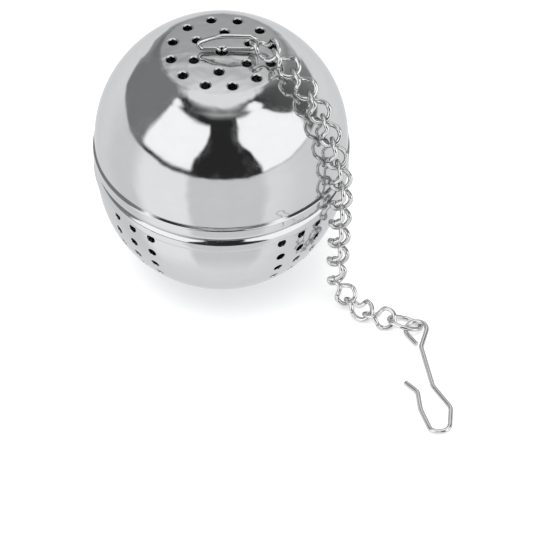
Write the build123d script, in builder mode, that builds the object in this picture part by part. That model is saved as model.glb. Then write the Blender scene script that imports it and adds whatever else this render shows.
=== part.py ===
from build123d import *
from math import acos, asin, atan2, cos, degrees, hypot, radians, sin, sqrt
import os

# Tea infuser: a screw-together perforated ball with a wire eye, a curb chain and a wire hook.
# Millimetres, +Z up, origin on the table under the middle of the ball, front of the ball to -Y.

# ---- driving sizes ----
ball_r = 25.0  # outside radius of the upper dome
bowl_step = 0.2  # how far the bowl lies inside the dome's line
sheet = 0.5  # steel sheet thickness
foot_r = 9.0  # radius of the flat the ball stands on
belt_proud = 0.38  # how far the two rolled belts stand out from the dome
belt_low = 2.47  # height of the belt on the bowl
belt_high = 3.31  # height of the belt on the dome
seam_gap = 0.12  # gap between the two belts when the ball is closed
skirt_wall = 0.78  # thickness of the dome's belt, over the neck
neck_play = 0.3  # radial play between the thread's crest and the dome's belt
neck_h = 3.2  # height of the neck above the bowl's shoulder
crest = 0.3  # how far the rolled thread stands out from the neck
crown_r = 12.5  # radius of the flattened, perforated crown
crown_rise = 0.6  # how far the crown bulges
hole_d = 1.8  # punched holes
crown_outer_r = 9.8  # ring of holes near the edge of the crown
crown_outer_n = 12
crown_outer_turn = 12.0
crown_inner_r = 5.8  # ring of holes round the wire eye
crown_inner_n = 6
crown_inner_turn = 25.0
side_group_turns = (-134.0, -51.0)  # middle of each pair of opposite hole groups on the bowl
side_columns = 3
side_column_step = 10.7
side_rows = 4
side_row_step = 9.2
side_row_first = -0.2  # degrees below the middle of the bowl

wire = 0.9  # wire thickness of eye, chain and hook
wire_play = 0.08  # play between two hooked wires
eye_hole_r = 1.15
chain_play = 0.2  # play between the chain and the dome it lies on
belt_play = 0.38  # play between the hanging chain and the belts it passes when the lid is lifted
link_half_w = 1.95  # half width of a link, to the middle of the wire
link_half_l = 3.09  # half length of a link, to the middle of the wire
link_twist = 40.0  # each end of a curb link is turned this much, opposite ways
link_cut = 0.06  # butt joint of the link wire
end_ring_half_l = 3.25
end_ring_half_w = 2.15

os.makedirs("parts", exist_ok=True)


# ---- radii and heights that follow from the sizes ----
bowl_r = ball_r - bowl_step
belt_r = ball_r + belt_proud
neck_r = belt_r - skirt_wall - neck_play - crest
bowl_z = sqrt(bowl_r**2 - foot_r**2)
belt_foot_z = bowl_z + 1.24
shoulder_z = belt_foot_z + belt_low
rim_z = shoulder_z + seam_gap
dome_z = rim_z + belt_high + 0.51
crown_edge_z = dome_z + sqrt(ball_r**2 - crown_r**2)
crown_z = crown_edge_z + crown_rise
rod = wire / 2


def on_circle(radius, height_above_middle):
    """Distance from the axis of a point on a sphere, at a height above its middle."""
    return sqrt(radius**2 - height_above_middle**2)


def export(part, name):
    part.label = name
    export_step(part, f"parts/{name}.step")


# ---- lower bowl: flat foot, round bowl, convex belt, neck with a rolled thread ----
with BuildPart() as lower_shell:
    with BuildSketch(Plane.XZ):
        with BuildLine():
            foot = Line((0, 0), (foot_r, 0))
            bowl_top = (on_circle(bowl_r, belt_foot_z - bowl_z), belt_foot_z)
            mid_dip = radians(35)
            outside = ThreePointArc(
                foot @ 1,
                (bowl_r * cos(mid_dip), bowl_z - bowl_r * sin(mid_dip)),
                bowl_top,
            )
            crease = Line(outside @ 1, (belt_r - 0.02, belt_foot_z + 0.3))
            belly = ThreePointArc(
                crease @ 1,
                (belt_r - 0.16, shoulder_z - 1.07),
                (belt_r - 0.83, shoulder_z - 0.18),
            )
            brow = ThreePointArc(
                belly @ 1,
                (belt_r - 1.08, shoulder_z - 0.04),
                (neck_r, shoulder_z),
            )
            neck_low = Line(brow @ 1, (neck_r, shoulder_z + 1.05))
            thread = ThreePointArc(
                neck_low @ 1,
                (neck_r + crest, shoulder_z + 1.4),
                (neck_r, shoulder_z + 1.75),
            )
            neck_top = Line(thread @ 1, (neck_r, shoulder_z + neck_h))
            lip = Line(neck_top @ 1, (neck_r - sheet, shoulder_z + neck_h))
            neck_in = Line(lip @ 1, (neck_r - sheet, shoulder_z - sheet))
            brow_in = Line(neck_in @ 1, (belt_r - 1.13, shoulder_z - 0.57))
            belly_in = ThreePointArc(
                brow_in @ 1,
                (belt_r - 0.62, shoulder_z - 1.26),
                (belt_r - sheet, belt_foot_z + 0.6),
            )
            inner_r = bowl_r - sheet
            crease_in = Line(belly_in @ 1, (on_circle(inner_r, belt_foot_z - bowl_z), belt_foot_z))
            inside = ThreePointArc(
                crease_in @ 1,
                (inner_r * cos(mid_dip), bowl_z - inner_r * sin(mid_dip)),
                (on_circle(inner_r, bowl_z - sheet), sheet),
            )
            floor = Line(inside @ 1, (0, sheet))
            Line(floor @ 1, foot @ 0)
        make_face()
    revolve(axis=Axis.Z)
    # four groups of punched holes round the side of the bowl, in two opposite pairs
    for group in side_group_turns:
        for opposite in (0, 180):
            for column in range(side_columns):
                turn = radians(group + opposite + (column - (side_columns - 1) / 2) * side_column_step)
                for row in range(side_rows):
                    dip = radians(side_row_first + row * side_row_step)
                    out = Vector(cos(dip) * cos(turn), cos(dip) * sin(turn), -sin(dip))
                    with Locations(Plane(origin=Vector(0, 0, bowl_z) + out * bowl_r, z_dir=out)):
                        Cylinder(hole_d / 2, 2, mode=Mode.SUBTRACT)
export(lower_shell.part, "lower_shell")


# ---- upper dome: flattened crown, round dome, rolled belt that screws over the neck ----
with BuildPart() as upper_shell:
    with BuildSketch(Plane.XZ):
        with BuildLine():
            crown_sag = crown_rise * (eye_hole_r / crown_r) ** 2
            half_sag = crown_rise / 4
            crown = ThreePointArc(
                (eye_hole_r, crown_z - crown_sag),
                (crown_r / 2, crown_z - half_sag),
                (crown_r, crown_edge_z),
            )
            mid_lift = radians(30)
            dome = ThreePointArc(
                crown @ 1,
                (ball_r * cos(mid_lift), dome_z + ball_r * sin(mid_lift)),
                (ball_r, dome_z),
            )
            tuck = ThreePointArc(
                dome @ 1,
                (ball_r - 0.07, dome_z - 0.3),
                (ball_r - 0.22, dome_z - 0.46),
            )
            flare = Line(tuck @ 1, (belt_r - 0.16, dome_z - 0.78))
            bead = ThreePointArc(
                flare @ 1,
                (belt_r - 0.04, dome_z - 0.92),
                (belt_r, dome_z - 1.1),
            )
            wall = Line(bead @ 1, (belt_r, rim_z + 1.72))
            rim = ThreePointArc(
                wall @ 1,
                (belt_r - 0.145, rim_z + 0.79),
                (belt_r - 0.66, rim_z),
            )
            rim_edge = Line(rim @ 1, (belt_r - skirt_wall, rim_z))
            skirt_in = Line(rim_edge @ 1, (belt_r - skirt_wall, rim_z + 0.2))
            thread_in = ThreePointArc(
                skirt_in @ 1,
                (belt_r - skirt_wall - 0.14, rim_z + 0.5),
                (belt_r - skirt_wall, rim_z + 0.8),
            )
            skirt_high = Line(thread_in @ 1, (belt_r - skirt_wall, dome_z - 0.9))
            flare_in = Line(skirt_high @ 1, (ball_r - 0.22 - sheet, dome_z - 0.46))
            tuck_in = Line(flare_in @ 1, (ball_r - sheet, dome_z))
            cap_r = ball_r - sheet
            edge_in_r = crown_r - 0.2
            dome_in = ThreePointArc(
                tuck_in @ 1,
                (cap_r * cos(mid_lift), dome_z + cap_r * sin(mid_lift)),
                (edge_in_r, dome_z + on_circle(cap_r, edge_in_r)),
            )
            crown_in = ThreePointArc(
                dome_in @ 1,
                (crown_r / 2, crown_z - half_sag - sheet),
                (eye_hole_r, crown_z - crown_sag - sheet),
            )
            Line(crown_in @ 1, crown @ 0)
        make_face()
    revolve(axis=Axis.Z)
    # two rings of punched holes in the crown
    with Locations((0, 0, crown_z - sheet / 2)):
        with PolarLocations(crown_outer_r, crown_outer_n, start_angle=crown_outer_turn):
            Cylinder(hole_d / 2, 4, mode=Mode.SUBTRACT)
        with PolarLocations(crown_inner_r, crown_inner_n, start_angle=crown_inner_turn):
            Cylinder(hole_d / 2, 4, mode=Mode.SUBTRACT)
export(upper_shell.part, "upper_shell")


# ---- wire eye: one wire bent to a long bail; both ends go down the middle hole and splay inside ----
leg_x = 0.5
bend = 0.6
lie_z = crown_z + rod + 0.14
bail_right = 5.22
bail_left = -3.4
bail_r = 1.5
heel_r = 0.9
splay_z = crown_z - sheet - 0.91
heel_end = radians(115)
with BuildPart() as eyelet:
    with BuildLine(Plane.XZ) as eye_path:
        toe_left = Line((-3.2, splay_z - 0.1), (-leg_x - bend, splay_z))
        bend_in = CenterArc((-leg_x - bend, splay_z + bend), bend, -90, 90)
        leg_left = Line(bend_in @ 1, (-leg_x, lie_z - bend))
        bend_out = CenterArc((-leg_x - bend, lie_z - bend), bend, 0, 90)
        lie_left = Line(bend_out @ 1, (bail_left, lie_z))
        heel = CenterArc((bail_left, lie_z + heel_r), heel_r, -90, -155)
        arch = Spline(
            heel @ 1,
            (0.6, lie_z + 2 * bail_r + 0.12),
            (bail_right, lie_z + 2 * bail_r),
            tangents=(heel % 1, (1, 0)),
        )
        nose = CenterArc((bail_right, lie_z + bail_r), bail_r, 90, -180)
        lie_right = Line(nose @ 1, (leg_x + bend, lie_z))
        turn_down = CenterArc((leg_x + bend, lie_z - bend), bend, 90, 90)
        leg_right = Line(turn_down @ 1, (leg_x, splay_z + bend))
        turn_out = CenterArc((leg_x + bend, splay_z + bend), bend, 180, 90)
        toe_right = Line(turn_out @ 1, (3.2, splay_z - 0.1))
    with BuildSketch(Plane(origin=eye_path.line @ 0, z_dir=eye_path.line % 0)):
        Circle(rod)
    sweep()
export(eyelet.part, "eyelet")


# ---- one curb link: round wire, each end turned the other way, cut in the middle of one side ----
lean = radians(link_twist)
end_x = link_half_l - link_half_w


def side_point(x, side, turn):
    """A point of the link's side wire: distance along the link, which side, turn about its length."""
    return (x, side * link_half_w * cos(turn), side * link_half_w * sin(turn))


with BuildPart() as curb_link:
    with BuildLine() as link_path:
        cut_end = Spline(
            side_point(link_cut / 2, -1, 0),
            side_point(end_x, -1, lean),
            tangents=((1, 0, -0.55), (1, 0, 0)),
        )
        bow_out = ThreePointArc(
            cut_end @ 1,
            (link_half_l, 0, 0),
            side_point(end_x, 1, lean),
        )
        side = Spline(
            bow_out @ 1,
            side_point(0, 1, 0),
            side_point(-end_x, 1, -lean),
            tangents=((-1, 0, 0), (-1, 0, 0)),
        )
        bow_in = ThreePointArc(
            side @ 1,
            (-link_half_l, 0, 0),
            side_point(-end_x, -1, -lean),
        )
        cut_start = Spline(
            bow_in @ 1,
            side_point(-link_cut / 2, -1, 0),
            tangents=((1, 0, 0), (1, 0, -0.55)),
        )
    with BuildSketch(Plane(origin=link_path.line @ 0, z_dir=link_path.line % 0)):
        Circle(rod)
    sweep()


# ---- how the chain lies: over the dome, straight down past the belt, then out on the table ----
pitch = 2 * link_half_l - wire - wire_play
lie_turn = radians(-41.3)
along = Vector(cos(lie_turn), sin(lie_turn), 0)
across = Vector(-sin(lie_turn), cos(lie_turn), 0)
up = Vector(0, 0, 1)
half_thick = link_half_w * sin(lean) + rod
chain_start = Vector(bail_right + bail_r - 0.17, 0, lie_z + bail_r)
lie_offset = chain_start.dot(across)
start_q = chain_start.dot(along)
dome_clear_r = ball_r + half_thick + chain_play
lie_r = sqrt(dome_clear_r**2 - lie_offset**2)
hang_q = sqrt((belt_r + half_thick + belt_play) ** 2 - lie_offset**2)
table_z = half_thick + 0.05


def spot(q, z):
    """A place in the upright plane the chain lies in: distance along it and height."""
    return across * lie_offset + along * q + up * z


def link_frame(end, direction, outward, roll=0.0):
    """The frame of a link from the middle of its far wire, its direction and its outward side."""
    direction = direction.normalized()
    outward = (outward - direction * outward.dot(direction)).normalized()
    outward = outward.rotate(Axis((0, 0, 0), direction), roll)
    return Plane(origin=end - direction * link_half_l, x_dir=direction, z_dir=outward)


# the first contact on the dome is one pitch from the wire eye
reach = hypot(start_q, chain_start.Z - dome_z)
first_angle = asin(start_q / reach) + acos((lie_r**2 + reach**2 - pitch**2) / (2 * lie_r * reach))
link_angle = 2 * asin(pitch / 2 / lie_r)
contacts = [chain_start]
angle = first_angle
while degrees(angle) < 80:
    contacts.append(spot(lie_r * sin(angle), dome_z + lie_r * cos(angle)))
    angle += link_angle
dome_links = len(contacts)
last_q = contacts[-1].dot(along)
contacts.append(spot(hang_q, contacts[-1].Z - sqrt(pitch**2 - (hang_q - last_q) ** 2)))
while contacts[-1].Z - pitch > table_z + 1.5:
    contacts.append(contacts[-1] - up * pitch)

frames = []
for number in range(1, len(contacts)):
    direction = contacts[number] - contacts[number - 1]
    end = contacts[number]
    middle = end - direction.normalized() * link_half_l
    if number == 1:
        end = end + direction.normalized() * 0.12
        frames.append(link_frame(end, direction, up, 10))
    elif number <= dome_links:
        frames.append(link_frame(end, direction, middle - Vector(0, 0, dome_z)))
    else:
        last_roll = -17 if number == len(contacts) - 1 else 0
        frames.append(link_frame(end, direction, Vector(middle.X, middle.Y, 0), last_roll))

# the links that bend on to the table: slope down, turn sideways, roll, extra play
lay_down = ((37.0, 0.0, -15.0, 0.15), (0.5, -3.0, -4.0, 0.14), (1.0, 26.0, 0.0, 0.19))
end = contacts[-1]
for slope, sideways, roll, play in lay_down:
    level = along.rotate(Axis.Z, sideways)
    direction = level * cos(radians(slope)) - up * sin(radians(slope))
    outward = up if slope < 30 else level * 0.6 + up
    end = end + direction * (pitch - play)
    frames.append(link_frame(end, direction, outward, roll))

for number, frame in enumerate(frames, start=1):
    with BuildPart() as link:
        with Locations(frame.location):
            add(curb_link.part)
    export(link.part, f"link_{number:02d}")


# ---- end ring: a wider, flat oval link between the chain and the hook ----
ring_turn = radians(-11.4)
ring_slope = radians(8.9)
ring_dir = Vector(cos(ring_turn) * cos(ring_slope), sin(ring_turn) * cos(ring_slope), -sin(ring_slope))
ring_middle = end - ring_dir * (wire + wire_play + 0.15 - end_ring_half_l)
ring_frame = link_frame(ring_middle + ring_dir * link_half_l, ring_dir, up, -21.3)
with BuildPart() as end_ring:
    with BuildLine(ring_frame) as ring_path:
        EllipticalCenterArc((0, 0), end_ring_half_l, end_ring_half_w, start_angle=100.5, arc_size=358.5)
    with BuildSketch(Plane(origin=ring_path.line @ 0, z_dir=ring_path.line % 0)):
        Circle(rod)
    sweep()
export(end_ring.part, "end_ring")


# ---- hook: one wire, flat: a drop-shaped eye, a long shank, a round bend and a flared tip ----
hook_turn = radians(-83.9)
hook_dir = Vector(cos(hook_turn), sin(hook_turn), -0.0156).normalized()
hook_up = (up - hook_dir * up.dot(hook_dir)).normalized().rotate(Axis((0, 0, 0), hook_dir), 9.8)
hook_frame = Plane(origin=ring_middle + Vector(2.144, -1.813, 0.072), x_dir=hook_dir, z_dir=hook_up)
hook_eye_r = 2.1
kink = (4.65, 0.2)
tail_end = (3.8, -0.52)


def touch(point, side):
    """Where a line from a point meets the round of the hook's eye."""
    x, y = point
    angle = atan2(y, x) + side * acos(hook_eye_r / hypot(x, y))
    return (hook_eye_r * cos(angle), hook_eye_r * sin(angle))


with BuildPart() as hook:
    with BuildLine(hook_frame) as hook_path:
        tail = Line(tail_end, touch(tail_end, -1))
        hook_eye = ThreePointArc(touch(tail_end, -1), (-hook_eye_r, 0), touch(kink, 1))
        FilletPolyline(
            touch(kink, 1),
            kink,
            (14.9, 0.8),
            (21.0, 3.3),
            (26.5, 2.0),
            (25.6, -1.4),
            (20.0, -2.5),
            (15.6, -2.35),
            (12.7, -4.3),
            radius=(1.5, 3.0, 2.5, 1.5, 1.5, 4.0, 1.5),
        )
    with BuildSketch(Plane(origin=hook_path.line @ 0, z_dir=hook_path.line % 0)):
        Circle(rod)
    sweep()
export(hook.part, "hook")
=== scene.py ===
import bpy
import numpy as np
from math import acos, asin, atan2, cos, degrees, hypot, pi, radians, sin, sqrt
from mathutils import Matrix, Vector
from mathutils.geometry import delaunay_2d_cdt


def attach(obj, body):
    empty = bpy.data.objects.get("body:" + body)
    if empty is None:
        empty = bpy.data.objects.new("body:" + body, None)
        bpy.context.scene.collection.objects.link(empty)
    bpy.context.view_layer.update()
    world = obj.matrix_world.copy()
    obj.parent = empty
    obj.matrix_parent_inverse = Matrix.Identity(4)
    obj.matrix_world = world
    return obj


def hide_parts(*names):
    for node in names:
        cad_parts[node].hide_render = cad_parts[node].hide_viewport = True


# Tea infuser: polished screw-together ball, wire eye, curb chain, end ring and hook.
# Shapes are worked out in millimetres and scaled to metres when a mesh is made.

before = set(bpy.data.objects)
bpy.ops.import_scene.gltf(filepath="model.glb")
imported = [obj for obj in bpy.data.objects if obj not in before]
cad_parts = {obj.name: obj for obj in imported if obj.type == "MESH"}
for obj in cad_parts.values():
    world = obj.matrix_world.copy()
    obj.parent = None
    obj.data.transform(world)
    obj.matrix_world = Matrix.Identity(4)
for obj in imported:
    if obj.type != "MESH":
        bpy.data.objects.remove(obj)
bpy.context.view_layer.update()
MM = 0.001

# ---- sizes, as in the CAD model ----
BALL_R, BOWL_R, SHEET = 25.0, 24.8, 0.5
FOOT_R, BELT_R = 9.0, 25.38
BELT_LOW, BELT_HIGH, SEAM_GAP = 2.47, 3.31, 0.12
SKIRT_WALL, NECK_R, NECK_H, CREST = 0.78, 24.0, 3.2, 0.3
CROWN_R, CROWN_RISE = 12.5, 0.6
HOLE_R, EYE_HOLE_R = 0.9, 1.15
CROWN_RINGS = ((9.8, 12, 12.0), (5.8, 6, 25.0))
SIDE_GROUPS = (-134, -51, 46, 129)
SIDE_COLUMNS, SIDE_COLUMN_STEP = 3, 10.7
SIDE_ROWS, SIDE_ROW_STEP, SIDE_ROW_FIRST = 4, 9.2, -0.2
ROD, PLAY, CHAIN_PLAY, BELT_PLAY = 0.45, 0.08, 0.2, 0.38
LINK_HW, LINK_HL, LEAN = 1.95, 3.09, radians(40)
RING_HL, RING_HW = 3.25, 2.15

BOWL_Z = sqrt(BOWL_R**2 - FOOT_R**2)
BELT_FOOT_Z = BOWL_Z + 1.24
SHOULDER_Z = BELT_FOOT_Z + BELT_LOW
RIM_Z = SHOULDER_Z + SEAM_GAP
DOME_Z = RIM_Z + BELT_HIGH + 0.51
CROWN_EDGE_Z = DOME_Z + sqrt(BALL_R**2 - CROWN_R**2)
CROWN_Z = CROWN_EDGE_Z + CROWN_RISE
LIE_Z = CROWN_Z + ROD + 0.14


# ---- shader node helpers ----
class Sock:
    """A node socket or number that takes arithmetic, to write node maths as plain formulas."""

    def __init__(self, tree, value):
        self.tree, self.value = tree, value

    def op(self, kind, *others, clamp=False):
        node = self.tree.nodes.new("ShaderNodeMath")
        node.operation = kind
        node.use_clamp = clamp
        for i, v in enumerate((self, *others)):
            put(self.tree, v, node.inputs[i])
        return Sock(self.tree, node.outputs[0])

    def __add__(self, o):
        return self.op("ADD", o)

    def __sub__(self, o):
        return self.op("SUBTRACT", o)

    def __mul__(self, o):
        return self.op("MULTIPLY", o)

    def __neg__(self):
        return self.op("MULTIPLY", -1.0)

    def abs(self):
        return self.op("ABSOLUTE")

    def max(self, o):
        return self.op("MAXIMUM", o)


def put(tree, value, socket):
    value = value.value if isinstance(value, Sock) else value
    if isinstance(value, bpy.types.NodeSocket):
        tree.links.new(value, socket)
    else:
        socket.default_value = value


def step(x, low, high):
    """0 below low, 1 above high, smooth between."""
    node = x.tree.nodes.new("ShaderNodeMapRange")
    node.interpolation_type = "SMOOTHSTEP"
    put(x.tree, x, node.inputs["Value"])
    put(x.tree, low, node.inputs["From Min"])
    put(x.tree, high, node.inputs["From Max"])
    return Sock(x.tree, node.outputs["Result"])


def mix(t, a, b):
    """a where t is 0, b where t is 1, for numbers."""
    node = t.tree.nodes.new("ShaderNodeMix")
    node.data_type = "FLOAT"
    put(t.tree, t, node.inputs[0])
    put(t.tree, a, node.inputs[2])
    put(t.tree, b, node.inputs[3])
    return Sock(t.tree, node.outputs[0])


def ramp(x, *stops):
    """A smooth grey curve through (place, value) stops."""
    out = Sock(x.tree, stops[0][1])
    for (start, _), (stop, level) in zip(stops, stops[1:]):
        out = mix(step(x, start, stop), out, level)
    return out


def noise(tree, vector, scale, detail=2.0, rough=0.5, distort=0.0):
    node = tree.nodes.new("ShaderNodeTexNoise")
    tree.links.new(vector, node.inputs["Vector"])
    node.inputs["Scale"].default_value = scale
    node.inputs["Detail"].default_value = detail
    node.inputs["Roughness"].default_value = rough
    node.inputs["Distortion"].default_value = distort
    return Sock(tree, node.outputs["Fac"])


# ---- materials ----
def new_material(name):
    mat = bpy.data.materials.new(name)
    mat.use_nodes = True
    tree = mat.node_tree
    return mat, tree, tree.nodes["Principled BSDF"]


def bump(tree, height, distance, strength=1.0, normal=None):
    node = tree.nodes.new("ShaderNodeBump")
    node.inputs["Strength"].default_value = strength
    node.inputs["Distance"].default_value = distance
    put(tree, height, node.inputs["Height"])
    if normal is not None:
        tree.links.new(normal, node.inputs["Normal"])
    return node.outputs["Normal"]


def split(tree, vector):
    node = tree.nodes.new("ShaderNodeSeparateXYZ")
    tree.links.new(vector, node.inputs[0])
    return [Sock(tree, o) for o in node.outputs]


def join(tree, x, y, z):
    node = tree.nodes.new("ShaderNodeCombineXYZ")
    for i, v in enumerate((x, y, z)):
        put(tree, v, node.inputs[i])
    return node.outputs[0]


def grey(tree, level, tint=(1.0, 1.0, 1.0)):
    """A colour socket from a grey level, slightly tinted."""
    return join(tree, *(level * t for t in tint))


def steel_material(name, shade, gloss, wave, crown_wave, marks, scratches):
    """Polished steel with a wavy pressed sheet, fine spinning marks round the axis and hairline scratches."""
    mat, tree, bsdf = new_material(name)
    place = tree.nodes.new("ShaderNodeTexCoord").outputs["Object"]
    x, y, z = split(tree, place)
    radius = (x * x + y * y).op("SQRT")
    turn = y.op("ARCTAN2", x)
    spun = join(tree, turn * 0.006, radius, z)
    ribs = noise(tree, spun, 5200.0, 3.0, 0.6)
    bands = noise(tree, spun, 700.0, 2.0, 0.5)
    meridian = join(tree, turn * 0.02, z * 0.06, 0.0)
    streaks = noise(tree, meridian, 2600.0, 3.0, 0.6)
    soft = noise(tree, place, 95.0, 2.0, 0.5)
    pressed = noise(tree, place, 150.0, 2.0, 0.5, 0.4)
    on_crown = step(z, 0.0505, 0.0526)
    blotch = noise(tree, place, 260.0, 4.0, 0.6, 0.4)
    hair = noise(tree, place, 900.0, 2.0, 0.5, 6.0)
    line = step((hair - 0.5).abs(), 0.0, 0.006)
    worn = step(blotch, 0.42, 0.62)
    scratch = (line * -1.0 + 1.0) * worn
    rough = (blotch - 0.5) * 0.05 + (bands - 0.5) * 0.05 + (streaks - 0.5) * 0.04 + scratch * 0.12 + gloss
    put(tree, rough.max(0.02), bsdf.inputs["Roughness"])
    level = (blotch - 0.5) * 0.05 + (bands - 0.5) * 0.03 + shade
    put(tree, grey(tree, level, (0.995, 1.0, 1.004)), bsdf.inputs["Base Color"])
    bsdf.inputs["Metallic"].default_value = 1.0
    bsdf.inputs["Specular Tint"].default_value = (0.8, 0.8, 0.81, 1.0)
    first = bump(tree, soft * wave + pressed * on_crown * crown_wave, 1.0)
    second = bump(tree, ribs * 0.5 + streaks * 0.5, marks, 1.0, first)
    third = bump(tree, scratch * -1.0, scratches, 1.0, second)
    tree.links.new(third, bsdf.inputs["Normal"])
    return mat


def wire_material(name, shade, gloss):
    """Bright drawn wire: small dents and drawing marks, darker and duller in patches."""
    mat, tree, bsdf = new_material(name)
    place = tree.nodes.new("ShaderNodeTexCoord").outputs["Object"]
    dents = noise(tree, place, 520.0, 3.0, 0.55, 0.3)
    fine = noise(tree, place, 3800.0, 3.0, 0.6, 1.0)
    grime = step(noise(tree, place, 300.0, 4.0, 0.6, 0.5), 0.5, 0.78)
    rough = (fine - 0.5) * 0.10 + (dents - 0.5) * 0.08 + grime * 0.10 + gloss
    put(tree, rough.max(0.03), bsdf.inputs["Roughness"])
    level = (fine - 0.5) * 0.08 + shade - grime * 0.16
    put(tree, grey(tree, level, (1.0, 0.995, 0.985)), bsdf.inputs["Base Color"])
    bsdf.inputs["Metallic"].default_value = 1.0
    bsdf.inputs["Specular Tint"].default_value = (0.10, 0.10, 0.10, 1.0)
    first = bump(tree, dents, 0.00003)
    tree.links.new(bump(tree, fine, 0.0000015, 1.0, first), bsdf.inputs["Normal"])
    return mat


shell_steel = steel_material("polished_shell_steel", 0.65, 0.06, 0.00012, 0.00030, 0.0000012, 0.000002)
inner_steel = steel_material("satin_inner_steel", 0.50, 0.29, 0.00012, 0.0002, 0.000005, 0.000004)
wire_steel = wire_material("bright_wire_steel", 0.78, 0.08)


# ---- mesh helpers ----
def make_mesh(name, points, faces, normals=None, materials=(), face_slots=None):
    mesh = bpy.data.meshes.new(name)
    mesh.from_pydata((np.asarray(points) * MM).tolist(), [], [list(map(int, f)) for f in faces])
    for mat in materials:
        mesh.materials.append(mat)
    if face_slots is not None:
        mesh.polygons.foreach_set("material_index", face_slots)
    mesh.polygons.foreach_set("use_smooth", [True] * len(mesh.polygons))
    mesh.validate()
    if normals is not None:
        n = np.asarray(normals, float)
        n /= np.linalg.norm(n, axis=1)[:, None]
        mesh.normals_split_custom_set_from_vertices(n.tolist())
    mesh.update()
    obj = bpy.data.objects.new(name, mesh)
    bpy.context.scene.collection.objects.link(obj)
    return obj


def unit(v):
    v = np.asarray(v, float)
    return v / np.linalg.norm(v)


def arc(p, q, r, count):
    """Points on the circular arc from p through q to r, both ends included."""
    (ax, ay), (bx, by), (cx, cy) = p, q, r
    d = 2 * (ax * (by - cy) + bx * (cy - ay) + cx * (ay - by))
    a2, b2, c2 = ax**2 + ay**2, bx**2 + by**2, cx**2 + cy**2
    ox = (a2 * (by - cy) + b2 * (cy - ay) + c2 * (ay - by)) / d
    oy = (a2 * (cx - bx) + b2 * (ax - cx) + c2 * (bx - ax)) / d
    radius = hypot(ax - ox, ay - oy)
    a0, a1, a2 = (atan2(y - oy, x - ox) for x, y in (p, q, r))
    sweep = (a2 - a0) % (2 * pi)
    if (a1 - a0) % (2 * pi) > sweep:
        sweep -= 2 * pi
    angles = a0 + sweep * np.linspace(0, 1, count)
    return [(ox + radius * cos(a), oy + radius * sin(a)) for a in angles]


def rounded(points, radius, count=5):
    """A polyline with its corners turned into small arcs, so they catch the light."""
    pts = [np.array(p, float) for p in points]
    out = [pts[0]]
    for a, b, c in zip(pts, pts[1:], pts[2:]):
        u, v = unit(a - b), unit(c - b)
        bend = pi - acos(max(-1.0, min(1.0, float(u @ v))))
        if bend < radians(14):
            out.append(b)
            continue
        back = min(radius * np.tan(bend / 2), 0.45 * np.linalg.norm(a - b), 0.45 * np.linalg.norm(c - b))
        start, end = b + u * back, b + v * back
        for t in np.linspace(0, 1, count):
            out.append((1 - t) ** 2 * start + 2 * t * (1 - t) * b + t**2 * end)
    out.append(pts[-1])
    return np.array(out)


class Sheet:
    """Collects points, faces and normals of one sheet-metal piece, in millimetres."""

    def __init__(self):
        self.points, self.normals, self.faces, self.slots = [], [], [], []
        self.count = 0

    def add(self, points, normals, faces, slot=0):
        faces = [[i + self.count for i in f] for f in faces]
        self.points.append(np.asarray(points, float))
        self.normals.append(np.asarray(normals, float))
        self.faces += faces
        self.slots += [slot] * len(faces)
        self.count += len(points)

    def lathe(self, profile, slot=0, turns=360, keep=None):
        """Turns a profile of (radius, height) points about the axis, keeping the columns asked for."""
        p = np.asarray(profile, float)
        t = np.gradient(p, axis=0)
        t[1:-1] = (p[2:] - p[:-2]) / np.maximum(np.linalg.norm(p[2:] - p[:-2], axis=1), 1e-9)[:, None]
        n = np.stack([-t[:, 1], t[:, 0]], 1)
        n /= np.linalg.norm(n, axis=1)[:, None]
        a = np.radians(np.arange(turns) * 360 / turns)
        c, s = np.cos(a)[:, None], np.sin(a)[:, None]
        points = np.stack([c * p[:, 0], s * p[:, 0], 0 * c + p[:, 1]], 2).reshape(-1, 3)
        normals = np.stack([c * n[:, 0], s * n[:, 0], 0 * c + n[:, 1]], 2).reshape(-1, 3)
        m = len(p)
        faces = []
        for i in range(turns):
            if keep is not None and not keep(i * 360 / turns):
                continue
            j = (i + 1) % turns
            for k in range(m - 1):
                quad = [i * m + k, i * m + k + 1, j * m + k + 1, j * m + k]
                if p[k, 0] < 1e-9:
                    quad = quad[:3]
                elif p[k + 1, 0] < 1e-9:
                    quad = [quad[0], quad[1], quad[3]]
                faces.append(quad)
        self.add(points, normals, faces, slot)

    def build(self, name, materials):
        points, normals = np.vstack(self.points), np.vstack(self.normals)
        # weld the seams between the turned parts and the punched patches
        _, first, new = np.unique(np.round(points, 4), axis=0, return_index=True, return_inverse=True)
        new = new.ravel()
        used = np.unique(np.concatenate([new[f] for f in self.faces]))
        spot = -np.ones(len(first), int)
        spot[used] = np.arange(len(used))
        faces = [[spot[new[i]] for i in f] for f in self.faces]
        return make_mesh(name, points[first[used]], faces, normals[first[used]], materials, self.slots)


# the lips of the punched holes: (distance outside the hole's edge, depth below the surface)
LIP = (
    (0.20, 0.0), (0.14, 0.008), (0.09, 0.025), (0.05, 0.055),
    (0.02, 0.10), (0.004, 0.17), (0.0, 0.26), (0.0, SHEET),
)
CROWN_LIP = (
    (0.36, 0.0), (0.28, 0.012), (0.20, 0.036), (0.13, 0.070),
    (0.07, 0.12), (0.03, 0.18), (0.0, 0.27), (0.0, SHEET),
)
LIP_SIDES = 28


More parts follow.
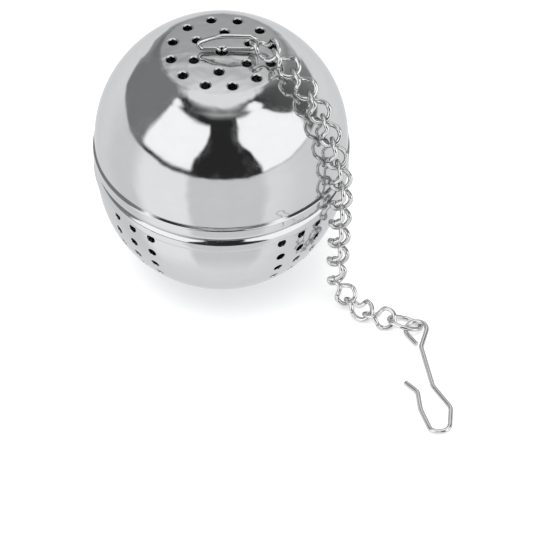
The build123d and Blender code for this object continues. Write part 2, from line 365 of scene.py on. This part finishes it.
def punched(sheet, surface, holes, inside, edge, grid, lip):
    """A patch of sheet with punched holes, outside and inside surface.

    surface(a, b) gives a point and normal; holes are (a, b, radius); inside says if a grid point is kept.
    edge is the patch's outline and grid its inner points, all in the flat (a, b) of the patch, in mm.
    """
    flat = [Vector(p) for p in edge]
    loops = [list(range(len(edge)))]
    fringe = lip[0][0]
    for a, b, r in holes:
        start = len(flat)
        for t in range(LIP_SIDES):
            w = 2 * pi * t / LIP_SIDES
            flat.append(Vector((a + (r + fringe) * cos(w), b + (r + fringe) * sin(w))))
        loops.append(list(range(start, start + LIP_SIDES)))
    for p in grid:
        if inside(*p) and all(hypot(p[0] - a, p[1] - b) > r + fringe + 0.16 for a, b, r in holes):
            flat.append(Vector(p))
    edges = [(l[i], l[(i + 1) % len(l)]) for l in loops for i in range(len(l))]
    verts, _, faces, *_ = delaunay_2d_cdt(flat, edges, [], 0, 1e-6)
    keep = []
    for f in faces:
        a = sum(verts[i].x for i in f) / len(f)
        b = sum(verts[i].y for i in f) / len(f)
        if inside(a, b) and all(hypot(a - ha, b - hb) > (r + fringe) * 0.999 for ha, hb, r in holes):
            keep.append(list(f))
    both = [surface(v.x, v.y) for v in verts]
    points = np.array([p for p, _ in both])
    normals = np.array([n for _, n in both])
    # counter-clockwise seen from outside
    ordered = []
    for f in keep:
        p = points[f]
        out = np.dot(np.cross(p[1] - p[0], p[2] - p[0]), normals[f[0]]) > 0
        ordered.append(f if out else f[::-1])
    sheet.add(points, normals, ordered, 0)
    sheet.add(points - normals * SHEET, -normals, [f[::-1] for f in ordered], 1)
    for a, b, r in holes:
        rings, ring_normals = [], []
        for k, (off, deep) in enumerate(lip):
            o0, d0 = lip[max(k - 1, 0)]
            o1, d1 = lip[min(k + 1, len(lip) - 1)]
            lean = atan2(d1 - d0, o0 - o1) if k else 0.0
            for t in range(LIP_SIDES):
                w = 2 * pi * t / LIP_SIDES
                p, n = surface(a + (r + off) * cos(w), b + (r + off) * sin(w))
                q, _ = surface(a, b)
                inward = unit((q - p) - n * np.dot(q - p, n))
                rings.append(p - n * deep)
                ring_normals.append(n * cos(lean) + inward * sin(lean))
        # the same ring on the inner surface, out to the patch
        for t in range(LIP_SIDES):
            w = 2 * pi * t / LIP_SIDES
            p, n = surface(a + (r + fringe) * cos(w), b + (r + fringe) * sin(w))
            rings.append(p - n * SHEET)
            ring_normals.append(-n)
        quads = []
        m = LIP_SIDES
        probe_n = surface(a, b)[1]
        for k in range(len(lip)):
            for t in range(m):
                u = (t + 1) % m
                quads.append([k * m + t, k * m + u, (k + 1) * m + u, (k + 1) * m + t])
        p = np.array(rings)
        f = quads[0]
        flip = np.dot(np.cross(p[f[1]] - p[f[0]], p[f[2]] - p[f[0]]), probe_n) < 0
        quads = [q[::-1] for q in quads] if flip else quads
        sheet.add(rings, ring_normals, quads, 0)


# ---- lower bowl ----
def dip_point(radius, dip):
    """A profile point of the bowl, in degrees below its middle."""
    return (radius * cos(radians(dip)), BOWL_Z - radius * sin(radians(dip)))


# the band of the bowl that holds the punched holes, in degrees below its middle
BAND_TOP = -degrees(asin(1.24 / BOWL_R))
BAND_LOW = 33.0
BAND_ROWS = 24
PATCH_HALF = 16  # half width of a punched patch, in degrees round the bowl
INNER_R = BOWL_R - SHEET


def outside_groups(turn):
    """Whether a column of the bowl has no punched holes in it."""
    return all((turn - (g - PATCH_HALF)) % 360 >= 2 * PATCH_HALF for g in SIDE_GROUPS)


def make_bowl():
    bowl = Sheet()
    dips = np.linspace(BAND_LOW, BAND_TOP, BAND_ROWS + 1)
    foot_dip = degrees(asin(BOWL_Z / BOWL_R))
    inner_dip = degrees(asin((BOWL_Z - SHEET) / INNER_R))
    z0 = BELT_FOOT_Z
    crease, roll = (BELT_R - 0.02, z0 + 0.3), (BELT_R - 0.83, SHOULDER_Z - 0.18)
    belt = arc(crease, (BELT_R - 0.16, SHOULDER_Z - 1.07), roll, 30)
    brow = arc(roll, (BELT_R - 1.08, SHOULDER_Z - 0.04), (NECK_R, SHOULDER_Z), 8)
    thread = arc(
        (NECK_R, SHOULDER_Z + 1.05),
        (NECK_R + CREST, SHOULDER_Z + 1.4),
        (NECK_R, SHOULDER_Z + 1.75),
        12,
    )
    top = SHOULDER_Z + NECK_H
    inside = [dip_point(INNER_R, d) for d in np.linspace(inner_dip, BAND_LOW, 60)]
    floor = [(r, SHEET) for r in np.linspace(0, inside[0][0], 10)[:-1]]
    bowl.lathe(rounded(floor + inside, 0.8), 1)
    inner_belt = arc(
        (BELT_R - SHEET, z0 + 0.6),
        (BELT_R - 0.62, SHOULDER_Z - 1.26),
        (BELT_R - 1.13, SHOULDER_Z - 0.57),
        16,
    )
    neck_inside = [dip_point(INNER_R, BAND_TOP)] + inner_belt + [
        (NECK_R - SHEET, SHOULDER_Z - SHEET),
        (NECK_R - SHEET, top - 0.12),
    ]
    neck_inside = rounded(neck_inside, 0.25)
    bowl.lathe(neck_inside, 1)
    lip = [neck_inside[-1], (NECK_R - SHEET, top), (NECK_R, top)]
    outside = lip + thread[::-1] + brow[::-1] + belt[::-1][1:]
    outside.append(dip_point(BOWL_R, BAND_TOP))
    bowl.lathe(rounded(outside, 0.14), 0)
    bowl.lathe([dip_point(INNER_R, d) for d in dips], 1, keep=outside_groups)
    bowl.lathe([dip_point(BOWL_R, d) for d in dips[::-1]], 0, keep=outside_groups)
    under = [dip_point(BOWL_R, d) for d in np.linspace(BAND_LOW, foot_dip, 60)]
    under += [(r, 0.0) for r in np.linspace(FOOT_R, 0, 12)[1:]]
    bowl.lathe(rounded(under, 0.5), 0)
    for group in SIDE_GROUPS:
        punch_group(bowl, group, dips)
    return bowl.build("lower_shell_skin", (shell_steel, inner_steel))


def punch_group(bowl, group, dips):
    mid = radians(SIDE_ROW_FIRST + 1.5 * SIDE_ROW_STEP)
    g = radians(group)
    out = np.array([cos(mid) * cos(g), cos(mid) * sin(g), -sin(mid)])
    east = np.array([-sin(g), cos(g), 0.0])
    north = np.cross(out, east)
    middle = np.array([0, 0, BOWL_Z])

    def surface(a, b):
        reach = hypot(a, b)
        if reach < 1e-9:
            return middle + out * BOWL_R, out
        w = reach / BOWL_R
        n = out * cos(w) + (east * a + north * b) / reach * sin(w)
        return middle + n * BOWL_R, n

    def flat(turn, dip):
        t, d = radians(turn), radians(dip)
        n = np.array([cos(d) * cos(t), cos(d) * sin(t), -sin(d)])
        side = n - out * (n @ out)
        length = np.linalg.norm(side)
        if length < 1e-12:
            return (0.0, 0.0)
        w = acos(max(-1.0, min(1.0, float(n @ out))))
        return (BOWL_R * w * float(side @ east) / length, BOWL_R * w * float(side @ north) / length)

    turns = [group - PATCH_HALF + k for k in range(2 * PATCH_HALF + 1)]
    edge = [flat(t, dips[0]) for t in turns]
    edge += [flat(turns[-1], d) for d in dips[1:]]
    edge += [flat(t, dips[-1]) for t in reversed(turns[:-1])]
    edge += [flat(turns[0], d) for d in dips[-2:0:-1]]
    grid = [flat(t, d) for t in turns[1:-1] for d in dips[1:-1:2]]
    holes = []
    for column in range(SIDE_COLUMNS):
        turn = group + (column - (SIDE_COLUMNS - 1) / 2) * SIDE_COLUMN_STEP
        for row in range(SIDE_ROWS):
            holes.append((*flat(turn, SIDE_ROW_FIRST + row * SIDE_ROW_STEP), HOLE_R))

    def inside(a, b):
        n = surface(a, b)[1]
        dip = -degrees(asin(n[2]))
        turn = (degrees(atan2(n[1], n[0])) - group + 180) % 360 - 180
        return BAND_TOP - 0.01 < dip < BAND_LOW + 0.01 and abs(turn) < PATCH_HALF + 0.01

    punched(bowl, surface, holes, inside, edge, grid, LIP)


# ---- upper dome ----
PATCH_R = 11.4  # the punched middle of the crown; the shoulder starts here
SHOULDER_R = 14.8  # the crown is rounded into the dome out to here


def crown_height(r):
    return CROWN_Z - CROWN_RISE * (r / CROWN_R) ** 2


def make_dome():
    dome = Sheet()
    slope = -2 * CROWN_RISE / CROWN_R**2

    def surface(a, b):
        r = hypot(a, b)
        n = unit((-slope * a, -slope * b, 1.0))
        return np.array([a, b, crown_height(r)]), n

    turns = np.radians(np.arange(360))
    edge = [(PATCH_R * cos(t), PATCH_R * sin(t)) for t in turns]
    grid = []
    for k, r in enumerate(np.arange(0.7, PATCH_R - 0.2, 0.7)):
        n = max(8, int(2 * pi * r / 0.7))
        grid += [(r * cos(2 * pi * i / n + k), r * sin(2 * pi * i / n + k)) for i in range(n)]
    holes = [(0.0, 0.0, EYE_HOLE_R)]
    for ring_r, count, first in CROWN_RINGS:
        for i in range(count):
            w = radians(first + 360 / count * i)
            holes.append((ring_r * cos(w), ring_r * sin(w), HOLE_R))
    punched(dome, surface, holes, lambda a, b: hypot(a, b) < PATCH_R + 0.01, edge, grid, CROWN_LIP)

    # outside: crown edge, dome, tucked belt with its bead and rolled rim
    start = np.array((PATCH_R, crown_height(PATCH_R)))
    end = np.array((SHOULDER_R, DOME_Z + sqrt(BALL_R**2 - SHOULDER_R**2)))
    lean_in, lean_out = slope * PATCH_R, -SHOULDER_R / (end[1] - DOME_Z)
    corner_r = (end[1] - start[1] + lean_in * start[0] - lean_out * end[0]) / (lean_in - lean_out)
    corner = np.array((corner_r, start[1] + lean_in * (corner_r - start[0])))
    shoulder = [
        tuple((1 - t) ** 2 * start + 2 * t * (1 - t) * corner + t**2 * end) for t in np.linspace(0, 1, 24)
    ]
    first = degrees(acos(SHOULDER_R / BALL_R))
    side = [(BALL_R * cos(radians(d)), DOME_Z + BALL_R * sin(radians(d))) for d in np.linspace(first, 0, 90)]
    tuck = arc((BALL_R, DOME_Z), (BALL_R - 0.07, DOME_Z - 0.3), (BALL_R - 0.22, DOME_Z - 0.46), 8)
    bead = arc((BELT_R - 0.16, DOME_Z - 0.78), (BELT_R - 0.04, DOME_Z - 0.92), (BELT_R, DOME_Z - 1.1), 8)
    rim = arc((BELT_R, RIM_Z + 1.72), (BELT_R - 0.145, RIM_Z + 0.79), (BELT_R - 0.66, RIM_Z), 24)
    outside = shoulder + side[1:] + tuck[1:] + bead + rim
    outside.append((BELT_R - SKIRT_WALL, RIM_Z))
    dome.lathe(rounded(outside, 0.12), 0)

    # inside: belt with its thread, dome, crown
    w = BELT_R - SKIRT_WALL
    cap_r = BALL_R - SHEET
    thread = arc((w, RIM_Z + 0.2), (w - 0.14, RIM_Z + 0.5), (w, RIM_Z + 0.8), 10)
    edge_in_r = CROWN_R - 0.2
    last = degrees(acos(edge_in_r / cap_r))
    skirt = [(w, RIM_Z), *thread, (w, DOME_Z - 0.9), (BALL_R - 0.22 - SHEET, DOME_Z - 0.46)]
    cap = [(cap_r * cos(radians(d)), DOME_Z + cap_r * sin(radians(d))) for d in np.linspace(0, last, 60)]
    p, n = surface(PATCH_R, 0.0)
    q = p - n * SHEET
    dome.lathe(rounded(skirt + cap + [(q[0], q[2])], 0.3), 1)
    return dome.build("upper_shell_skin", (shell_steel, inner_steel))


# ---- wires ----
def tube(name, path, radius, sides=24, soften=0.12):
    """A round wire along a path of points, with softly broken edges at its cut ends."""
    p = np.asarray(path, float)
    t = np.gradient(p, axis=0)
    t /= np.linalg.norm(t, axis=1)[:, None]
    u = np.cross(t[0], (0.31, 0.17, 0.93))
    u /= np.linalg.norm(u)
    ups = [u]
    for a in t[1:]:
        u = u - a * (u @ a)
        u /= np.linalg.norm(u)
        ups.append(u)
    ups = np.array(ups)
    rings = [(p[i], t[i], ups[i], radius, 0.0) for i in range(len(p))]
    ease = [(w * pi / 2) for w in np.linspace(0, 1, 4)]

    def rounded_end(i, way):
        """Rings from the full wire to the cut face; way is 1 at the wire's start, -1 at its end."""
        rings = []
        for e in ease:
            place = p[i] + way * t[i] * soften * (1 - sin(e))
            rings.append((place, t[i], ups[i], radius - soften * (1 - cos(e)), -way * sin(e)))
        return rings

    head, tail = rounded_end(0, 1), rounded_end(-1, -1)
    inner = [r for r, q in zip(rings, p) if min(np.linalg.norm(q - p[0]), np.linalg.norm(q - p[-1])) > soften]
    rings = head[::-1] + inner + tail
    a = np.arange(sides) * 2 * pi / sides
    points, normals = [], []
    for q, tt, uu, r, end in rings:
        v = np.cross(tt, uu)
        d = np.cos(a)[:, None] * uu + np.sin(a)[:, None] * v
        points.append(q + d * r)
        normals.append(d * sqrt(max(0.0, 1 - end * end)) + tt * end)
    m = len(rings)
    faces = []
    for i in range(m - 1):
        for k in range(sides):
            j = (k + 1) % sides
            faces.append((i * sides + k, i * sides + j, (i + 1) * sides + j, (i + 1) * sides + k))
    points, normals = np.vstack(points), np.vstack(normals)
    caps = np.array([rings[0][0], rings[-1][0]])
    points = np.vstack([points, caps])
    normals = np.vstack([normals, [-rings[0][1], rings[-1][1]]])
    for k in range(sides):
        j = (k + 1) % sides
        faces.append((m * sides, j, k))
        faces.append((m * sides + 1, (m - 1) * sides + k, (m - 1) * sides + j))
    return make_mesh(name, points, faces, normals, (wire_steel,))


def turned(v, axis, angle):
    """A vector turned about an axis by an angle in degrees."""
    return np.array(Matrix.Rotation(radians(angle), 3, Vector(axis)) @ Vector(v))


def link_frame(end, direction, outward, roll=0.0):
    """Middle and the three directions of a link, from its far wire, its direction and its outward side."""
    d = unit(direction)
    o = unit(np.asarray(outward, float) - d * (np.asarray(outward, float) @ d))
    o = turned(o, d, roll)
    return end - d * LINK_HL, d, np.cross(o, d), o


def placed(frame_, local):
    o, x, y, z = frame_
    q = np.asarray(local, float)
    return o + q[:, :1] * x + q[:, 1:2] * y + q[:, 2:] * z


def link_path():
    """Round wire bent to a twisted oval, its butt joint in the middle of one side."""
    flat_x = LINK_HL - LINK_HW
    gap = 0.03
    bow = np.linspace(-pi / 2, pi / 2, 34)
    c, s = cos(LEAN), sin(LEAN)
    out = [(flat_x + LINK_HW * cos(a), LINK_HW * sin(a) * c, LINK_HW * sin(a) * s) for a in bow]
    back = [(-(flat_x + LINK_HW * cos(a)), LINK_HW * sin(a) * c, -LINK_HW * sin(a) * s) for a in bow[::-1]]

    def side(x, sign):
        w = LEAN * sin(pi / 2 * x / flat_x)
        return (x, sign * LINK_HW * cos(w), sign * LINK_HW * sin(w))

    first = [side(x, -1) for x in np.linspace(gap, flat_x, 10)[:-1]]
    far = [side(x, 1) for x in np.linspace(flat_x, -flat_x, 20)[1:-1]]
    last = [side(x, -1) for x in np.linspace(-flat_x, -gap, 10)[1:]]
    return np.array(first + out + far + back + last)


# how the chain lies: over the dome, straight down past the belt, then out on the table
UP = np.array([0.0, 0.0, 1.0])
BAIL_RIGHT, BAIL_LEFT, BAIL_R, HEEL_R = 5.22, -3.4, 1.5, 0.9
PITCH = 2 * LINK_HL - 2 * ROD - PLAY
HALF_THICK = LINK_HW * sin(LEAN) + ROD
LIE_TURN = radians(-41.3)
# the links that bend on to the table: slope down, turn sideways, roll, extra play
LAY_DOWN = ((37.0, 0.0, -15.0, 0.15), (0.5, -3.0, -4.0, 0.14), (1.0, 26.0, 0.0, 0.19))


def chain_frames():
    along = np.array([cos(LIE_TURN), sin(LIE_TURN), 0.0])
    across = np.array([-sin(LIE_TURN), cos(LIE_TURN), 0.0])
    start = np.array([BAIL_RIGHT + BAIL_R - 0.17, 0.0, LIE_Z + BAIL_R])
    offset, start_q = float(start @ across), float(start @ along)
    lie_r = sqrt((BALL_R + HALF_THICK + CHAIN_PLAY) ** 2 - offset**2)
    hang_q = sqrt((BELT_R + HALF_THICK + BELT_PLAY) ** 2 - offset**2)
    table_z = HALF_THICK + 0.05

    def spot(q, z):
        """A place in the upright plane the chain lies in."""
        return across * offset + along * q + UP * z

    reach = hypot(start_q, start[2] - DOME_Z)
    angle = asin(start_q / reach) + acos((lie_r**2 + reach**2 - PITCH**2) / (2 * lie_r * reach))
    contacts = [start]
    while degrees(angle) < 80:
        contacts.append(spot(lie_r * sin(angle), DOME_Z + lie_r * cos(angle)))
        angle += 2 * asin(PITCH / 2 / lie_r)
    dome_links = len(contacts)
    drop = sqrt(PITCH**2 - (hang_q - float(contacts[-1] @ along)) ** 2)
    contacts.append(spot(hang_q, contacts[-1][2] - drop))
    while contacts[-1][2] - PITCH > table_z + 1.5:
        contacts.append(contacts[-1] - UP * PITCH)
    frames = []
    for n in range(1, len(contacts)):
        direction = contacts[n] - contacts[n - 1]
        end = contacts[n]
        middle = end - unit(direction) * LINK_HL
        if n == 1:
            frames.append(link_frame(end + unit(direction) * 0.12, direction, UP, 10))
        elif n <= dome_links:
            frames.append(link_frame(end, direction, middle - UP * DOME_Z))
        else:
            roll = -17 if n == len(contacts) - 1 else 0
            frames.append(link_frame(end, direction, (middle[0], middle[1], 0), roll))
    end = contacts[-1]
    for slope, sideways, roll, play in LAY_DOWN:
        level = turned(along, UP, sideways)
        direction = level * cos(radians(slope)) - UP * sin(radians(slope))
        outward = UP if slope < 30 else level * 0.6 + UP
        end = end + direction * (PITCH - play)
        frames.append(link_frame(end, direction, outward, roll))
    return frames, end


def corner_path(points, radii, bead=0.25):
    """A flat polyline with each inner corner rounded to its own radius."""
    pts = [np.array(p, float) for p in points]
    out = [pts[0]]
    for a, b, c, r in zip(pts, pts[1:], pts[2:], radii):
        u, v = unit(a - b), unit(c - b)
        half = acos(max(-1.0, min(1.0, float(u @ v)))) / 2
        back = r / np.tan(half)
        mid = b + unit(u + v) * (r / sin(half))
        start, stop = b + u * back, b + v * back
        a0, a1 = (atan2(*(q - mid)[::-1]) for q in (start, stop))
        sweep = (a1 - a0 + pi) % (2 * pi) - pi
        count = max(4, int(abs(sweep) * r / bead) + 2)
        for t in np.linspace(0, 1, count):
            out.append(mid + r * np.array([cos(a0 + sweep * t), sin(a0 + sweep * t)]))
    out.append(pts[-1])
    return out


def hook_path():
    eye_r, kink, tail = 2.1, (4.65, 0.2), (3.8, -0.52)

    def touch(point, side):
        w = atan2(point[1], point[0]) + side * acos(eye_r / hypot(*point))
        return (eye_r * cos(w), eye_r * sin(w))

    start, stop = touch(tail, -1), touch(kink, 1)
    eye = arc(start, (-eye_r, 0.0), stop, 60)
    bends = ((14.9, 0.8), (21.0, 3.3), (26.5, 2.0), (25.6, -1.4), (20.0, -2.5), (15.6, -2.35), (12.7, -4.3))
    body = (stop, kink, *bends)
    rest = corner_path(body, (1.5, 3.0, 2.5, 1.5, 1.5, 4.0, 1.5))
    straight = [tuple(p) for p in np.linspace(tail, start, 8)[:-1]]
    flat = np.array(straight + eye + [tuple(p) for p in rest[1:]])
    place = np.concatenate([[0], np.cumsum(np.linalg.norm(np.diff(flat, axis=0), axis=1))])
    even = np.linspace(0, place[-1], int(place[-1] / 0.2))
    return np.stack([np.interp(even, place, flat[:, 0]), np.interp(even, place, flat[:, 1]), 0 * even], 1)


def ring_and_hook(end):
    turn, slope = radians(-11.4), radians(8.9)
    d = np.array([cos(turn) * cos(slope), sin(turn) * cos(slope), -sin(slope)])
    middle = end - d * (2 * ROD + PLAY + 0.15 - RING_HL)
    ring_frame = link_frame(middle + d * LINK_HL, d, UP, -21.3)
    w = np.radians(100.5 + np.linspace(0, 358.5, 120))
    ring = placed(ring_frame, np.stack([RING_HL * np.cos(w), RING_HW * np.sin(w), 0 * w], 1))
    turn = radians(-83.9)
    d = unit((cos(turn), sin(turn), -0.0156))
    up = turned(unit(UP - d * d[2]), d, 9.8)
    hook_frame = (middle + np.array([2.144, -1.813, 0.072]), d, np.cross(up, d), up)
    return ring, placed(hook_frame, hook_path())


def eyelet_path():
    """One wire: splayed toes inside the dome, two legs through the middle hole, a long bail."""
    leg, bend = 0.5, 0.6
    splay = CROWN_Z - SHEET - 0.91

    def turn(cx, cz, r, a0, sweep, n=12):
        angles = [radians(a0 + sweep * t) for t in np.linspace(0, 1, n)]
        return [(cx + r * cos(a), cz + r * sin(a)) for a in angles]

    path = [(-3.2, splay - 0.1)] + turn(-leg - bend, splay + bend, bend, -90, 90)
    path += turn(-leg - bend, LIE_Z - bend, bend, 0, 90)
    path += turn(BAIL_LEFT, LIE_Z + HEEL_R, HEEL_R, -90, -155, 20)
    stops = [path[-1], (0.6, LIE_Z + 2 * BAIL_R + 0.1), (BAIL_RIGHT, LIE_Z + 2 * BAIL_R)]
    lean = [(sin(radians(115)), -cos(radians(115))), (1.0, 0.03), (1.0, 0.0)]
    for (a, ta), (b, tb) in zip(zip(stops, lean), zip(stops[1:], lean[1:])):
        a, b = np.array(a), np.array(b)
        length = np.linalg.norm(b - a)
        for t in np.linspace(0, 1, 24)[1:]:
            h = (2 * t**3 - 3 * t**2 + 1, t**3 - 2 * t**2 + t, -2 * t**3 + 3 * t**2, t**3 - t**2)
            bow = h[1] * length * np.array(ta) + h[3] * length * np.array(tb)
            path.append(tuple(h[0] * a + h[2] * b + bow))
    path += turn(BAIL_RIGHT, LIE_Z + BAIL_R, BAIL_R, 90, -180, 26)[1:]
    path += turn(leg + bend, LIE_Z - bend, bend, 90, 90)
    path += turn(leg + bend, splay + bend, bend, 180, 90)
    path.append((3.2, splay - 0.1))
    flat = np.array(path)
    steps = np.linalg.norm(np.diff(flat, axis=0), axis=1)
    flat = flat[np.concatenate([[True], steps > 1e-6])]
    place = np.concatenate([[0], np.cumsum(np.linalg.norm(np.diff(flat, axis=0), axis=1))])
    even = np.linspace(0, place[-1], int(place[-1] / 0.15))
    x, z = np.interp(even, place, flat[:, 0]), np.interp(even, place, flat[:, 1])
    return np.stack([x, 0 * x, z], 1)


# ---- build the pieces and put each on its body ----
def settle(obj, node):
    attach(obj, node)
    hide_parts(node)


settle(make_bowl(), "lower_shell")
settle(make_dome(), "upper_shell")
settle(tube("eyelet_wire", eyelet_path(), ROD), "eyelet")
link_frames, chain_end = chain_frames()
for number, place in enumerate(link_frames, start=1):
    link = tube(f"chain_link_{number:02d}", placed(place, link_path()), ROD)
    settle(link, f"link_{number:02d}")
ring_points, hook_points = ring_and_hook(chain_end)
settle(tube("end_ring_wire", ring_points, ROD), "end_ring")
settle(tube("hook_wire", hook_points, ROD), "hook")


# ---- studio: pale floor, soft light, and what the polished steel mirrors ----
FLOOR_HALF = 4000.0  # millimetres from the middle to the floor's edges
FLOOR_DROP = 0.00002  # metres under the object, so the two never share a plane


def make_floor():
    mat, tree, bsdf = new_material("pale_floor")
    place = tree.nodes.new("ShaderNodeTexCoord").outputs["Object"]
    cloud = noise(tree, place, 14.0, 3.0, 0.5)
    put(tree, grey(tree, (cloud - 0.5) * 0.02 + 0.93), bsdf.inputs["Base Color"])
    bsdf.inputs["Emission Color"].default_value = (1.0, 1.0, 1.0, 1.0)
    bsdf.inputs["Emission Strength"].default_value = 0.3  # a white table lit from below as well
    bsdf.inputs["Roughness"].default_value = 0.85
    bsdf.inputs["Specular IOR Level"].default_value = 0.15
    corners = [(a * FLOOR_HALF, b * FLOOR_HALF, 0) for a, b in ((-1, -1), (1, -1), (1, 1), (-1, 1))]
    floor = make_mesh("floor", corners, [(0, 1, 2, 3)], None, (mat,))
    floor.location.z = -FLOOR_DROP
    floor.visible_glossy = False  # the steel mirrors the table that the world draws


BOX_LEVEL, CEILING_LEVEL = 1.38, 1.06  # brightness of the two soft boxes and of the ceiling
FILL_LEVEL, BACKDROP_LEVEL = 0.95, 0.97  # even light from all round, and what the camera sees behind


def make_world():
    """Even soft light, with a studio for the polished steel to mirror."""
    world = bpy.data.worlds.new("studio")
    bpy.context.scene.world = world
    world.use_nodes = True
    tree = world.node_tree
    tree.nodes.clear()
    way = tree.nodes.new("ShaderNodeTexCoord").outputs["Generated"]
    x, y, z = split(tree, way)
    az = x.op("ARCTAN2", -y) * degrees(1.0)  # 0 towards the front, + to the right
    el = z.op("ARCSINE") * degrees(1.0)
    wobble = (noise(tree, way, 3.0, 2.0) - 0.5) * 9.0
    az_w, el_w = az + wobble, el + wobble * 0.5
    side = az.abs()
    # two soft boxes, seen as bright quads, and the dark room between and beside them
    left_in = ramp(el, (10.0, -27.0), (40.0, -18.0), (56.0, -17.0))
    right_in = ramp(el, (6.0, 37.0), (40.0, 21.0), (56.0, 24.0))
    left = step(az_w, -80.0, -74.0) * (step(az_w, left_in - 2.0, left_in + 2.0) * -1.0 + 1.0)
    left = left * step(el_w, 7.0, 11.0) * (step(el_w, 49.0, 54.0) * -1.0 + 1.0)
    right_top = ramp(az, (30.0, 56.0), (60.0, 56.0), (92.0, 26.0))
    right = step(az_w, right_in - 2.0, right_in + 2.0) * (step(az_w, 88.0, 94.0) * -1.0 + 1.0)
    right = right * step(el_w, 3.0, 7.0) * (step(el_w, right_top - 2.0, right_top + 3.0) * -1.0 + 1.0)
    # levels are what a perfect mirror would show; right of the middle, turns are positive
    grain = (noise(tree, way, 38.0, 3.0, 0.6) - 0.5) * 0.012
    dark = ramp(az_w, (-80.0, 0.26), (-70.0, 0.05), (-58.0, 0.027), (60.0, 0.03), (100.0, 0.12), (134.0, 0.3))
    dark = dark + grain
    back_wall = ramp(el, (4.0, 0.86), (24.0, 0.46), (36.0, 0.52), (56.0, 1.0))
    back_wall = back_wall * ramp(x, (-0.34, 0.5), (-0.06, 1.0), (0.12, 1.0), (0.4, 0.8))
    pale_back = step(side, 134.0, 150.0)
    top = step(el_w, 56.0, 68.0)
    # the pale table in front, lit by the boxes and dimmer between them
    left_shine = ((-84.0, 0.86), (-66.0, 1.14), (-31.0, 1.14), (-24.0, 0.83))
    right_shine = ((32.0, 0.83), (42.0, 1.02), (80.0, 0.90))
    table = ramp(az_w, *left_shine, *right_shine)
    table = mix(step(el, -72.0, -48.0), 1.0, table)
    table = mix(step(side, 96.0, 130.0), table, 1.0)
    low = step(el_w, 3.0, 6.0) * -1.0 + 1.0
    level = mix(pale_back, dark, back_wall)
    level = mix(top, level, CEILING_LEVEL)
    level = mix(low, level, table)
    level = mix(left, level, BOX_LEVEL)
    level = mix(right, level, BOX_LEVEL)
    rays = tree.nodes.new("ShaderNodeLightPath").outputs
    seen = mix(Sock(tree, rays["Is Glossy Ray"]), FILL_LEVEL, level)
    seen = mix(Sock(tree, rays["Is Camera Ray"]), seen, BACKDROP_LEVEL)
    back = tree.nodes.new("ShaderNodeBackground")
    put(tree, grey(tree, seen, (0.99, 1.0, 1.01)), back.inputs["Color"])
    out = tree.nodes.new("ShaderNodeOutputWorld")
    tree.links.new(back.outputs[0], out.inputs["Surface"])


def make_lamp(name, place, size, power):
    data = bpy.data.lights.new(name, "AREA")
    data.size = size
    data.energy = power
    lamp = bpy.data.objects.new(name, data)
    lamp.location = place
    lamp.rotation_mode = "QUATERNION"
    lamp.rotation_quaternion = (Vector((0, 0, 0.02)) - Vector(place)).to_track_quat("-Z", "Y")
    lamp.visible_glossy = False
    bpy.context.scene.collection.objects.link(lamp)


def make_camera():
    data = bpy.data.cameras.new("camera")
    data.sensor_width = 36.0
    data.lens = 144.54
    data.clip_start, data.clip_end = 0.01, 20.0
    cam = bpy.data.objects.new("camera", data)
    ahead = Vector((0.02119456, 0.69321028, -0.72042369))
    right = Vector((0.99977179, -0.0127673, 0.01712783))
    up = right.cross(ahead)
    cam.matrix_world = Matrix((right, up, -ahead)).transposed().to_4x4()
    cam.location = (0.0, -0.3107557, 0.3171013)
    bpy.context.scene.collection.objects.link(cam)
    bpy.context.scene.camera = cam


make_floor()
make_world()
make_lamp("overhead_softbox", (-0.15, -0.1, 0.9), 0.7, 3.0)
make_camera()
bpy.context.scene.view_settings.view_transform = "Standard"
